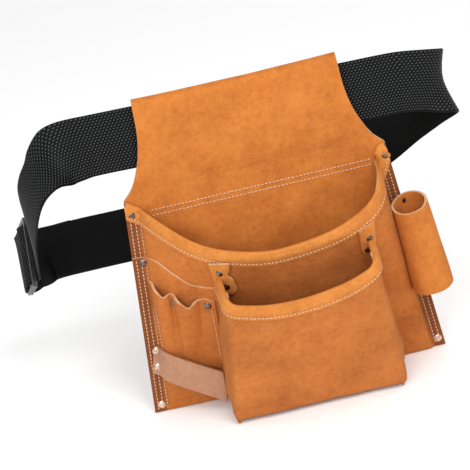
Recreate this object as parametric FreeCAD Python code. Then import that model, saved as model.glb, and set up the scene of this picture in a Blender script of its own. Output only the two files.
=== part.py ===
import FreeCAD, Part
import math
import os

# Suede tool pouch on a webbing waist belt.  Millimetres.  +Z is up, the pouch faces -Y, +X is to
# the viewer's right.  The origin is the middle of the webbing where it runs through the pouch.

os.makedirs("parts", exist_ok=True)
V = FreeCAD.Vector

# ---- driving dimensions -------------------------------------------------------------------------
HIDE = 2.2                   # thickness of the split-leather panels
TRIM = 1.4                   # thickness of the folded edge binding
STRAP_HIDE = 2.5             # thickness of the smooth leather tool strap

FOLD_TOP = 33.0              # top of the fold that the belt runs through
FOLD_GAP = 8.0               # clear room between the two leaves of the fold
SEAM_TOP = -47.5             # where the two leaves of the fold meet, above their stitching
LEAF_END = -69.0             # lower edge of the rear leaf
SHOULDER = -48.0             # height of the pouch's shoulders
BOTTOM = -235.0              # bottom edge of the pouch
TOP_HALF = 81.0              # half width of the fold
SHOULDER_HALF = 106.0        # half width at the shoulders
BOTTOM_HALF = 124.0          # half width at the bottom edge
SEAM = 11.0                  # width of the sewn side seam

MOUTH_LOW = -98.0            # lowest height of the main pocket's mouth
MOUTH_DEPTH = 47.0           # how far the main pocket stands out at its mouth
BOTTOM_DEPTH = 3.0           # how far it still stands out at the bottom seam
LEFT_FULLNESS = 1.4          # exponent of the slack left side
RIGHT_FULLNESS = 4.0         # exponent of the square right side
BAND = 12.0                  # width of the edge binding

BAG_TOP = -100.0             # top of the small bag's block, cut down to its mouth
BAG_BOTTOM = -233.0          # underside of the small bag
BAG_CORNER = 10.0            # radius of its upright corners
BAG_FRONT_WRAP = 12.0        # how far the bag's front piece wraps round the corners

TUBE_BORE = 13.4             # inner radius of the tool tube
TUBE_LENGTH = 76.0
TUBE_TOP = V(114.2, -20.6, -96.0)
TUBE_LEAN = 5.5              # degrees, along the sloping side seam

WEBBING_WIDTH = 50.8         # two inch webbing
WEBBING_THICK = 1.9
BELT_SLOPE = 0.028           # fall of the belt, per millimetre to the right

SHANK = 1.6                  # rivet shank radius
HEAD = 3.4                   # rivet head radius
HEAD_RISE = 1.3
WASHER = 0.8


# ---- helpers ------------------------------------------------------------------------------------
def save(name, shape):
    shape.exportStep("parts/" + name + ".step")


def side_at(z):
    """Half width of the pouch at a height below the shoulders."""
    return SHOULDER_HALF + (SHOULDER - z) * (BOTTOM_HALF - SHOULDER_HALF) / (SHOULDER - BOTTOM)


def depth_at(z):
    """How far the main pocket stands out in the middle at a height."""
    rise = min(z, MOUTH_LOW) - BOTTOM
    return BOTTOM_DEPTH + (MOUTH_DEPTH - BOTTOM_DEPTH) * rise / (MOUTH_LOW - BOTTOM)


def fullness(u):
    """Share of the full depth at u, -1 at the left seam and 1 at the right seam."""
    power = LEFT_FULLNESS if u < 0 else RIGHT_FULLNESS
    return max(0.0, 1.0 - abs(u) ** power) ** (1.0 / power)


def front_y(x, z, off):
    """Y of the pocket front's surface, lifted off by a number of millimetres."""
    inner = side_at(z) - SEAM
    if abs(x) >= inner:
        return -off
    return -off - depth_at(z) * fullness(x / inner)


def pocket_section(z, off, inset):
    """Closed outline of the pocket block at one height."""
    outer = side_at(z)
    inner = outer - SEAM
    points = []
    steps = 18
    for i in range(steps + 1):
        u = math.sin(math.pi * (i / steps - 0.5))
        reach = inner if u < 0 else inner - inset
        points.append(V(u * reach, -off - depth_at(z) * fullness(u), z))
    curve = Part.BSplineCurve()
    curve.interpolate(points)
    corners = [points[-1], V(outer, -off, z), V(outer, 0, z), V(-outer, 0, z), V(-outer, -off, z), points[0]]
    edges = [curve.toShape()]
    for a, b in zip(corners, corners[1:]):
        edges.append(Part.LineSegment(a, b).toShape())
    return Part.Wire(edges)


def pocket_block(off, inset):
    """Everything behind the pocket front's surface, from the bottom edge to the shoulders."""
    low = [pocket_section(BOTTOM, off, inset), pocket_section(MOUTH_LOW, off, inset)]
    high = [pocket_section(MOUTH_LOW, off, inset), pocket_section(SHOULDER + 12.0, off, inset)]
    return Part.makeLoft(low, True, True).fuse(Part.makeLoft(high, True, True))


def outline(parts):
    """Front-to-back prism of a closed outline of point lists; a list of 3 or more is a curve."""
    edges = []
    last = None
    for run in parts:
        points = [V(x, -160.0, z) for x, z in run]
        if last is not None and not last.isEqual(points[0], 1e-6):
            edges.append(Part.LineSegment(last, points[0]).toShape())
        if len(points) > 2:
            curve = Part.BSplineCurve()
            curve.interpolate(points)
            edges.append(curve.toShape())
        elif len(points) == 2:
            edges.append(Part.LineSegment(points[0], points[1]).toShape())
        last = points[-1]
    first = edges[0].Vertexes[0].Point
    edges.append(Part.LineSegment(last, first).toShape())
    return Part.Face(Part.Wire(edges)).extrude(V(0, 220.0, 0))


def cut_all(shape, tools):
    for tool in tools:
        shape = shape.cut(tool)
    return shape


def largest(shape):
    """The main solid of a shape that trimming has left with crumbs."""
    return max(shape.Solids, key=lambda solid: solid.Volume)


def rivet(x, z, front, back):
    """Tubular rivet set front to back: domed head, shank, and a washer behind."""
    top = V(0, front - HEAD_RISE, 0)
    shoulder = V(HEAD * 0.74, front - HEAD_RISE * 0.55, 0)
    rim = V(HEAD, front, 0)
    dome = Part.Arc(top, shoulder, rim).toShape()
    rest = Part.makePolygon([rim, V(SHANK, front, 0), V(SHANK, back, 0), V(HEAD, back, 0),
                             V(HEAD, back + WASHER, 0), V(0, back + WASHER, 0), top])
    body = Part.Face(Part.Wire([dome] + rest.Edges)).revolve(V(0, 0, 0), V(0, 1, 0), 360)
    body.translate(V(x, 0, z))
    return body


# ---- back panel with the belt fold --------------------------------------------------------------
def back_panel():
    """One hide: the flat back of the pouch, folded over the belt and sewn down behind."""
    half_gap = FOLD_GAP / 2
    centre = FOLD_TOP - HIDE - half_gap
    spread = SEAM_TOP + 15.0
    outer = [V(0, -HIDE, BOTTOM), V(0, -HIDE, SEAM_TOP), V(0, -half_gap - HIDE, spread),
             V(0, -half_gap - HIDE, centre)]
    inner = [V(0, half_gap, centre), V(0, half_gap, spread), V(0, 0, SEAM_TOP), V(0, -half_gap, spread),
             V(0, -half_gap, centre)]
    edges = [Part.makePolygon(outer).Edges,
             [Part.Arc(outer[-1], V(0, 0, FOLD_TOP), V(0, half_gap + HIDE, centre)).toShape()],
             Part.makePolygon([V(0, half_gap + HIDE, centre), V(0, half_gap + HIDE, spread),
                               V(0, HIDE, SEAM_TOP), V(0, HIDE, LEAF_END), V(0, 0, LEAF_END),
                               V(0, 0, BOTTOM), outer[0]]).Edges]
    skin = Part.Face(Part.Wire([edge for group in edges for edge in group]))
    tunnel_edges = Part.makePolygon(inner).Edges
    tunnel_edges.append(Part.Arc(inner[-1], V(0, 0, FOLD_TOP - HIDE), inner[0]).toShape())
    tunnel = Part.Face(Part.Wire(tunnel_edges))
    hide = skin.cut(tunnel).extrude(V(2 * BOTTOM_HALF, 0, 0))
    hide.translate(V(-BOTTOM_HALF, 0, 0))
    flare_right = [(TOP_HALF, FOLD_TOP), (82.5, 6.0), (86.0, -12.0), (91.5, -27.0), (98.0, -39.5),
                   (SHOULDER_HALF, SHOULDER)]
    flare_left = [(-x, z) for x, z in reversed(flare_right)]
    panel = outline([flare_right, [(BOTTOM_HALF, BOTTOM), (-BOTTOM_HALF, BOTTOM)], flare_left])
    leaf = outline([[(TOP_HALF, FOLD_TOP + 1), (TOP_HALF, LEAF_END - 1)],
                    [(-TOP_HALF, LEAF_END - 1), (-TOP_HALF, FOLD_TOP + 1)]])
    front_half = Part.makeBox(400, 40, 400, V(-200, -40, -300))
    front = hide.common(front_half).common(panel)
    rear = hide.cut(front_half).common(leaf)
    return front.fuse(rear).removeSplitter()


# ---- main pocket --------------------------------------------------------------------------------
MOUTH = [(-104.5, -49.0), (-98.0, -54.0), (-87.0, -62.0), (-60.0, -83.0), (-36.0, -92.5), (4.0, MOUTH_LOW),
         (46.0, -93.5), (74.0, -84.0), (88.0, -74.5), (94.5, -64.0), (98.5, -53.0), (104.5, -49.0)]


def below_mouth(lower):
    """Prism of everything below the mouth line, moved down by a number of millimetres."""
    line = [(x, z - lower) for x, z in MOUTH]
    return outline([line, [(150, -49.0 - lower), (150, -260)], [(-150, -260), (-150, -49.0 - lower)]])


def main_pocket():
    shell = pocket_block(2 * HIDE, 0.0).cut(pocket_block(HIDE, HIDE))
    return shell.common(below_mouth(0.0))


def main_binding(pocket):
    """Strip folded over the mouth of the main pocket, outside and inside, and sewn through."""
    band = below_mouth(-TRIM).cut(below_mouth(BAND))
    sheath = pocket_block(2 * HIDE + TRIM, -TRIM).cut(pocket_block(HIDE - TRIM, HIDE + TRIM))
    panel_zone = Part.makeBox(400, HIDE, 400, V(-200, -HIDE, -300))
    return sheath.common(band).cut(pocket).cut(panel_zone)


# ---- pockets on the left side -------------------------------------------------------------------
def left_pocket():
    """Flat pocket with a waved mouth, between the left seam and the small bag."""
    layer = pocket_block(3 * HIDE, 0.0).cut(pocket_block(2 * HIDE, 0.0))
    mouth = [(-125.0, -95.0), (-104.0, -96.0), (-93.0, -98.0), (-82.0, -108.5), (-70.0, -119.5),
             (-56.0, -124.0), (-46.0, -125.0)]
    return layer.common(outline([mouth, [(-62.0, BOTTOM), (-130.0, BOTTOM)]]))


CHANNELS = [(-92.5, -97.5, 7.4, 11.0), (-73.0, -79.0, 11.0, 11.5)]
CHANNEL_TOP = -112.0
CHANNEL_LOW = -196.0
CHANNEL_FOOT = 0.12          # share of the swelling left at the sewn foot


def channel_wall(top_x, low_x, half, rise, off, inset):
    """One swelling of the nail-set pocket, tapering to nothing at its sewn foot."""
    wires = []
    for x, z, share in ((top_x, CHANNEL_TOP, 1.0), (low_x, CHANNEL_LOW, CHANNEL_FOOT)):
        major = half - inset
        minor = max((rise - inset) * share, 0.4)
        middle = V(x, front_y(x, z, off), z)
        if major >= minor:
            ellipse = Part.Ellipse(middle, major, minor)
        else:
            ellipse = Part.Ellipse(middle + V(0, minor, 0), middle + V(major, 0, 0), middle)
        wires.append(Part.Wire([ellipse.toShape()]))
    return Part.makeLoft(wires, True, True)


def scalloped_pocket(under):
    """Nail-set and pencil pocket: one hide sewn down in three columns, with two round channels."""
    skin = pocket_block(4 * HIDE, 0.0)
    core = pocket_block(3 * HIDE, 0.0)
    for top_x, low_x, half, rise in CHANNELS:
        skin = skin.fuse(channel_wall(top_x, low_x, half, rise, 3 * HIDE, 0.0))
        core = core.fuse(channel_wall(top_x, low_x, half, rise, 3 * HIDE, HIDE))
    scallops = [(-103.0, -114.0), (-99.0, -121.0), (-93.5, -127.0), (-87.0, -126.5), (-81.0, -133.0),
                (-75.5, -138.0), (-69.0, -134.0), (-60.0, -133.5), (-54.0, -136.5)]
    edge = outline([scallops, [(-58.0, -204.0), (-106.0, -184.0)]])
    return skin.cut(core).common(edge).cut(under)


def tool_strap():
    """Smooth strap held at the left seam by two rivets, bowed out, and sewn under the bag's edge."""
    width = 25.0
    length = 56.0
    start = V(-113.5, 0, -185.9)
    slope = -28.7
    profile = [(0.0, 3 * HIDE), (6.0, 3 * HIDE), (12.0, 14.2), (18.0, 17.6), (32.0, 21.4), (length, 27.0)]
    points = [V(s, -d, 0) for s, d in profile]
    flat = Part.LineSegment(points[0], points[1]).toShape()
    curve = Part.BSplineCurve()
    curve.interpolate(points[1:])
    lift = V(0, -STRAP_HIDE, 0)
    back = [p + lift for p in points]
    upper = Part.BSplineCurve()
    upper.interpolate(back[1:])
    ends = [Part.LineSegment(points[-1], back[-1]).toShape(), Part.LineSegment(back[0], points[0]).toShape()]
    heel = Part.LineSegment(back[1], back[0]).toShape()
    face_edges = [flat, curve.toShape(), ends[0], upper.toShape(), heel, ends[1]]
    face = Part.Face(Part.Wire(Part.__sortEdges__(face_edges)))
    strap = face.extrude(V(0, 0, width))
    strap.translate(V(0, 0, -width / 2))
    strap.rotate(V(0, 0, 0), V(0, 1, 0), -slope)
    strap.translate(start)
    return strap


# ---- small front bag ----------------------------------------------------------------------------
def bag_block(inset):
    """Solid of the small bag, drawn in by inset on its sides, front and bottom."""
    wires = []
    for z, back_left, back_right, front_left, front_right, front in (
            (BAG_BOTTOM, -68.0, 91.0, -60.0, 82.0, -60.0),
            (BAG_TOP, -46.5, 77.0, -44.5, 77.0, -87.0)):
        rear = 0.0
        points = [V(back_left + inset, rear, z), V(front_left + inset, front + inset, z),
                  V(front_right - inset, front + inset, z), V(back_right - inset, rear, z)]
        points.append(points[0])
        wires.append(Part.makePolygon(points))
    block = Part.makeLoft(wires, True, True)
    upright = []
    for edge in block.Edges:
        a, b = [vertex.Point for vertex in edge.Vertexes]
        if abs(a.z - b.z) > 50 and min(a.y, b.y) < -40 + inset:
            upright.append(edge)
    block = block.makeFillet(BAG_CORNER - inset, upright)
    if inset > 0:
        block = block.cut(Part.makeBox(400, 400, inset, V(-200, -300, BAG_BOTTOM)))
    return block


BAG_MOUTH = [(-50.0, -112.5), (-45.5, -117.5), (-36.0, -123.0), (-12.0, -129.0), (14.0, -130.5),
             (44.0, -126.5), (66.0, -118.5), (76.0, -111.0), (81.0, -104.0)]


def below_bag_mouth(lower):
    line = [(x, z - lower) for x, z in BAG_MOUTH]
    return outline([line, [(120, -104.0 - lower), (120, -250)], [(-120, -250), (-120, -104.0 - lower)]])


def bag_front_zone():
    """Region taken by the bag's front piece, which wraps round both corners."""
    wires = []
    for z, front in ((BAG_BOTTOM - 5, -59.0), (BAG_TOP + 5, -88.0)):
        points = [V(-150, front - 20, z), V(150, front - 20, z), V(150, front + BAG_FRONT_WRAP, z),
                  V(-150, front + BAG_FRONT_WRAP, z)]
        points.append(points[0])
        wires.append(Part.makePolygon(points))
    return Part.makeLoft(wires, True, True)


def bag_shell(behind):
    shell = bag_block(0.0).cut(bag_block(HIDE))
    return cut_all(shell.common(below_bag_mouth(0.0)), behind)


def bag_binding(shell, behind):
    band = below_bag_mouth(-TRIM).cut(below_bag_mouth(BAND))
    ring = bag_block(-TRIM).cut(bag_block(HIDE + TRIM)).common(band)
    return cut_all(ring.cut(shell), behind)


# ---- tool tube ----------------------------------------------------------------------------------
def tube_axis():
    lean = math.radians(TUBE_LEAN)
    return V(math.sin(lean), 0, -math.cos(lean))


def tool_tube():
    """Rolled leather tube, open at both ends, cut higher at the back of its mouth."""
    axis = tube_axis()
    start = TUBE_TOP - axis * 6.0
    wall = Part.makeCylinder(TUBE_BORE + HIDE, TUBE_LENGTH + 6.0, start, axis)
    bore = Part.makeCylinder(TUBE_BORE, TUBE_LENGTH + 16.0, start - axis * 5.0, axis)
    mouth = Part.makeBox(60, 60, 30, V(TUBE_TOP.x - 30, TUBE_TOP.y - 30, TUBE_TOP.z))
    mouth.rotate(TUBE_TOP, V(1, 0, 0), 12.0)
    return wall.cut(bore).cut(mouth)


# ---- belt ---------------------------------------------------------------------------------------
BUCKLE = V(-199.0, 61.0, -100.0)
ALONG = V(-0.308, 0.753, -0.582)
ALONG.normalize()
ACROSS = V(0.034, 0.62, 0.784)
ACROSS = ACROSS - ALONG * ACROSS.dot(ALONG)
ACROSS.normalize()
INWARD = ALONG.cross(ACROSS)

BAR = 1.4                    # radius of the buckle's fixed bar, which the sewn loop goes round
LOOP = 3.0                   # radius of the loop's middle line
REAR_BAR = 13.0              # place of the fixed bar, behind the buckle's middle


def at_buckle(along, inward):
    return BUCKLE + ALONG * along + INWARD * inward


def belt_route():
    """Middle line of the webbing: point, lean back and lean right of its upper edge, in degrees."""
    route = []
    end_points = ((-160, 79.4, -107.8), (-176, 79.4, -108.6), (-190, 77.6, -109.5), (-196.5, 73.6, -109.5))
    for x, y, z in end_points:
        route.append((V(x, y, z), 50.0, -1.0))
    for turn in (90, 45, 0, -45, -90):
        angle = math.radians(turn)
        spot = at_buckle(REAR_BAR - LOOP * math.cos(angle), LOOP * math.sin(angle))
        route.append((spot, 38.0, 2.0))
    for x, y, z, back, right in (
            (-208.0, 76.5, -112.5, 40, 0), (-203.5, 82.0, -115.5, 44, 0), (-192.0, 83.8, -114.0, 50, -1),
            (-176, 83.0, -111.5, 53, 0), (-147, 82.3, -111, 54, 0), (-113, 82, -111, 54, 0),
            (-62, 83, -112, 54, 0), (-11, 83, -108.5, 53, 0), (40, 82, -101, 50, 0), (81, 78, -89, 46, 4),
            (113, 68, -70, 40, 4), (136, 54, -49.5, 32, 0), (152, 42, -35, 18, -4), (161.2, 30, -26, 5, -9),
            (163.0, 19, -19, -7, -10), (157.2, 9.5, -12.5, -10, -8), (144.5, 3, -7.5, -6, -4),
            (130, 0.2, -4.3, -2, -1)):
        route.append((V(x, y, z), back, right))
    for x in (118, 80, 40, 0, -40, -80, -118):
        route.append((V(x, 0, -BELT_SLOPE * x), 0.0, 0.0))
    for x, y, z, back, right in (
            (-131, 0.4, 3.0, 5, 0), (-144.5, 0.6, 1.4, 17, -3), (-156, -0.4, -3.5, 46, -8),
            (-165.6, -1.8, -11.0, 65, -14), (-174, -1.0, -21.0, 75, -18), (-180.5, 4.5, -35, 78, -16),
            (-185, 15, -52, 71, -10),
            (-187.5, 28, -69.5, 62, -5)):
        route.append((V(x, y, z), back, right))
    for along, inward in ((-22.0, 3.2), (-15.0, 3.6), (-9.0, 1.4), (-4.5, -3.2), (0.0, -4.6), (4.5, -1.8),
                          (7.0, 3.2), (9.0, 8.2)):
        route.append((at_buckle(along, inward), 38.0, 2.0))
    for x, y, z in ((-184.5, 74.4, -106.5), (-172, 75.4, -107), (-150, 76.2, -107), (-126, 76.6, -107.5),
                    (-98, 77, -107.8)):
        route.append((V(x, y, z), 50.0, -1.0))
    return route


def blend(a, b, c, d, t):
    """Catmull-Rom value between b and c."""
    square = 2 * a - 5 * b + 4 * c - d
    cube = 3 * b - a - 3 * c + d
    return 0.5 * (2 * b + (c - a) * t + square * t * t + cube * t ** 3)


def smooth_route(steps):
    route = belt_route()
    line = []
    last = len(route) - 1
    for i in range(last):
        around = [route[max(i - 1, 0)], route[i], route[i + 1], route[min(i + 2, last)]]
        for k in range(steps):
            t = k / steps
            spots = [blend(*[node[0][axis] for node in around], t) for axis in range(3)]
            leans = [blend(*[node[j] for node in around], t) for j in (1, 2)]
            line.append((V(*spots), leans[0], leans[1]))
    line.append(route[-1])
    return line


def belt_strap():
    """The one length of webbing, from its sewn end round the body to its free end."""
    line = smooth_route(3)
    sections = []
    for i, (spot, back, right) in enumerate(line):
        ahead = line[min(i + 1, len(line) - 1)][0] - line[max(i - 1, 0)][0]
        ahead.normalize()
        tilt = math.radians(back)
        side = math.radians(right)
        up = V(math.sin(side), math.cos(side) * math.sin(tilt), math.cos(side) * math.cos(tilt))
        up = up - ahead * up.dot(ahead)
        up.normalize()
        half = up * (WEBBING_WIDTH / 2)
        skin = ahead.cross(up) * (WEBBING_THICK / 2)
        corners = [spot + half + skin, spot + half - skin, spot - half - skin, spot - half + skin]
        sections.append(Part.makePolygon(corners + corners[:1]))
    stretch = 6
    faces = [Part.Face(sections[0]), Part.Face(sections[-1])]
    for i in range(0, len(sections) - 1, stretch):
        faces += Part.makeLoft(sections[i:i + stretch + 1], False, True).Faces
    shell = Part.makeShell(faces)
    shell.sewShape()
    webbing = Part.makeSolid(shell)
    if webbing.Volume < 0:
        webbing.reverse()
    return webbing


def placed_at_buckle(shape):
    """Turn a piece drawn flat (X along, Y across, Z inward) to its place on the belt."""
    matrix = FreeCAD.Matrix(ALONG.x, ACROSS.x, INWARD.x, BUCKLE.x,
                            ALONG.y, ACROSS.y, INWARD.y, BUCKLE.y,
                            ALONG.z, ACROSS.z, INWARD.z, BUCKLE.z,
                            0, 0, 0, 1)
    shape = shape.copy()
    shape.Placement = FreeCAD.Placement(matrix).multiply(shape.Placement)
    return shape


WINDOW = 53.5                # clear width of the buckle, across the webbing
RAIL = 3.4                   # width of its side rails
RAIL_THICK = 3.6
SLOT_PLAY = 1.4              # travel of the locking bar each way
LOCK_BAR = 2.2               # radius of the locking bar
TONGUE = 1.0                 # half size of the tongues at the locking bar's ends


def buckle_frame():
    """Steel frame: two side rails and a front bar, with slots inside the rails for the locking bar."""
    length = REAR_BAR * 2 + 6.0
    half = WINDOW / 2
    thick = RAIL_THICK / 2
    frame = Part.makeBox(length, WINDOW + 2 * RAIL, RAIL_THICK, V(-length / 2, -half - RAIL, -thick))
    frame = frame.makeFillet(2.4, [e for e in frame.Edges if abs(e.BoundBox.ZLength - RAIL_THICK) < 1e-6])
    front_bar = 3.6
    frame = frame.cut(Part.makeBox(length, WINDOW, 10, V(-length / 2 + front_bar, -half, -5)))
    reach = TONGUE + SLOT_PLAY + 0.1
    high = TONGUE + 0.1
    slot = Part.makeBox(2 * reach, WINDOW + 2 * RAIL - 2.4, 2 * high, V(-reach, -half - RAIL + 1.2, -high))
    bore = Part.makeCylinder(BAR, WINDOW + 4 * RAIL, V(REAR_BAR, -half - 2 * RAIL, 0), V(0, 1, 0))
    return frame.cut(slot).cut(bore)


def fixed_bar():
    """Round bar across the rear of the frame, inside the sewn loop."""
    return Part.makeCylinder(BAR, WINDOW + 2 * RAIL, V(REAR_BAR, -WINDOW / 2 - RAIL, 0), V(0, 1, 0))


def lock_bar():
    """Bar that slides in the rails' slots and pinches the webbing."""
    bar = Part.makeCylinder(LOCK_BAR, WINDOW - 1.0, V(0, -WINDOW / 2 + 0.5, 0), V(0, 1, 0))
    span = WINDOW + 2 * RAIL - 3.4
    tongue = Part.makeBox(2 * TONGUE, span, 2 * TONGUE, V(-TONGUE, -span / 2, -TONGUE))
    return bar.fuse(tongue)


# ---- rivets and tabs ----------------------------------------------------------------------------
def surface_rivet(x, z, off, stack):
    """Rivet through a stack of layers whose front lies off in front of the back panel."""
    front = front_y(x, z, off)
    return rivet(x, z, front, front + stack)


def tab(points, off):
    """Flat tab lying on the pocket front, from off to one hide further out."""
    layer = pocket_block(off + HIDE, 0.0).cut(pocket_block(off, 0.0))
    return layer.common(outline([points[:2], points[2:]]))


# ---- build --------------------------------------------------------------------------------------
def main():
    panel = back_panel()
    pocket = main_pocket()
    binding = main_binding(pocket)
    wave = left_pocket()
    scallop = scalloped_pocket(wave)
    strap = largest(cut_all(tool_strap(), [scallop, pocket_block(3 * HIDE, 0.0)]))
    left_tab = tab([(-52.0, -98.0), (-37.0, -98.0), (-34.0, -129.0), (-49.0, -129.0)], 3 * HIDE).cut(binding)
    right_tab = tab([(68.0, -94.0), (82.0, -94.0), (80.0, -120.0), (68.0, -120.0)], 2 * HIDE).cut(binding)
    blocked = [pocket_block(2 * HIDE, 0.0), binding, wave, scallop, strap, left_tab, right_tab]
    shell = bag_shell(blocked)
    trim = bag_binding(shell, blocked)
    zone = bag_front_zone()
    tube = tool_tube().cut(pocket_block(2 * HIDE, 0.0))

    hides = {
        "back_panel": panel,
        "main_pocket_front": pocket,
        "main_pocket_binding": binding,
        "left_pocket": wave,
        "nail_set_pocket": scallop,
        "tool_strap": strap,
        "bag_front": shell.common(zone),
        "bag_gusset": shell.cut(zone),
        "bag_binding": trim,
        "bag_tab_left": left_tab,
        "bag_tab_right": right_tab,
        "tool_tube": tube,
    }
    seam = 2 * HIDE
    groups = {
        "mouth_rivets": [rivet(-101.5, -59.0, -seam - TRIM, 0), rivet(103.5, -58.0, -seam - TRIM, 0)],
        "left_pocket_rivet": [rivet(-102.5, -100.5, -3 * HIDE, 0)],
        "corner_rivets": [rivet(-117.0, -229.0, -3 * HIDE, 0), rivet(118.5, -228.5, -seam, 0)],
        "nail_set_rivets": [surface_rivet(-84.5, -133.5, 4 * HIDE, 3 * HIDE),
                            surface_rivet(-59.5, -139.0, 4 * HIDE, 3 * HIDE)],
        "strap_rivets": [rivet(-110.0, -178.5, -3 * HIDE - STRAP_HIDE, 0),
                         rivet(-112.0, -193.0, -3 * HIDE - STRAP_HIDE, 0)],
        "bag_tab_rivets": [surface_rivet(-44.0, -108.5, 4 * HIDE, 3 * HIDE),
                           surface_rivet(75.0, -106.0, 3 * HIDE, 2 * HIDE)],
        "bag_inner_rivets": [surface_rivet(-41.0, -122.0, 4 * HIDE, 3 * HIDE),
                             surface_rivet(72.5, -116.0, 3 * HIDE, 2 * HIDE)],
        "tube_rivet": [rivet(109.5, -101.5, -6.6, 0)],
    }
    rivets = {name: Part.makeCompound(group) for name, group in groups.items()}
    for name in hides:
        hides[name] = largest(cut_all(hides[name], rivets.values()))
    belt = {
        "belt_webbing": belt_strap(),
        "buckle_frame": placed_at_buckle(buckle_frame()),
        "buckle_fixed_bar": placed_at_buckle(fixed_bar()),
        "buckle_lock_bar": placed_at_buckle(lock_bar()),
    }
    for group in (hides, rivets, belt):
        for name, shape in group.items():
            save(name, shape)
            print(name, len(shape.Solids), round(shape.Volume), shape.isValid())
    return {**hides, **rivets, **belt}


main()
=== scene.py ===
import bpy
import math
from mathutils import Matrix, Vector, noise


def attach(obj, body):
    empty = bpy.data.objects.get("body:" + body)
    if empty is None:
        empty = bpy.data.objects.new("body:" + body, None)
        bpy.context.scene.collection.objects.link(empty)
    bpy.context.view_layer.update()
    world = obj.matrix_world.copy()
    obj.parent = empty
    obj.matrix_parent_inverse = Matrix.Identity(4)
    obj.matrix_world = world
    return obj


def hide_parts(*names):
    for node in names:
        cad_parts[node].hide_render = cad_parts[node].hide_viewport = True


# A split-leather carpenter's pouch on a webbing waist belt.  Metres.  +Z is up, the pouch faces
# -Y, and +X is to the viewer's right.  The origin is in the webbing, in the middle of the pouch.
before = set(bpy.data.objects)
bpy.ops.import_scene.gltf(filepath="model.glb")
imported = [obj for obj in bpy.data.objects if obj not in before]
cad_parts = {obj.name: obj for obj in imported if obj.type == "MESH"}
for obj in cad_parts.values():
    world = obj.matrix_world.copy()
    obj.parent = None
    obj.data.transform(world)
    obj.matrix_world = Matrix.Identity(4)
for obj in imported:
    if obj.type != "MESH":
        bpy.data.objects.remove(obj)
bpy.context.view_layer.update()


# ---- back panel -----------------------------------------------------------------------------------
# The largest hide: the flat back of the pouch, folded over the belt at the top and sewn down
# behind in two rows.  Golden suede split, napped on both faces, with raw cut edges.
hide = 0.0022
bottom = -0.235
shoulder = -0.048
seam_width = 0.011


def half_width(z):
    return 0.106 + (shoulder - z) * 0.018 / (shoulder - bottom)


def through(points, x):
    """Smooth value at x of a line through points given in rising x."""
    for i in range(len(points) - 1):
        if x <= points[i + 1][0] or i == len(points) - 2:
            a = points[max(i - 1, 0)]
            b = points[i]
            c = points[i + 1]
            d = points[min(i + 2, len(points) - 1)]
            span = c[0] - b[0]
            t = min(max((x - b[0]) / span, 0.0), 1.0)
            rise_b = (c[1] - a[1]) / (c[0] - a[0]) * span
            rise_c = (d[1] - b[1]) / (d[0] - b[0]) * span
            h = t * t * (3 - 2 * t)
            return b[1] * (1 - h) + c[1] * h + rise_b * t * (1 - t) ** 2 - rise_c * t * t * (1 - t)
    return points[-1][1]


def ripple(x, z, size=0.0006):
    """Gentle unevenness of soft leather, the same for every layer sewn at that place."""
    return size * noise.noise(Vector((x * 38, z * 38, 4.0)))


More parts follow.
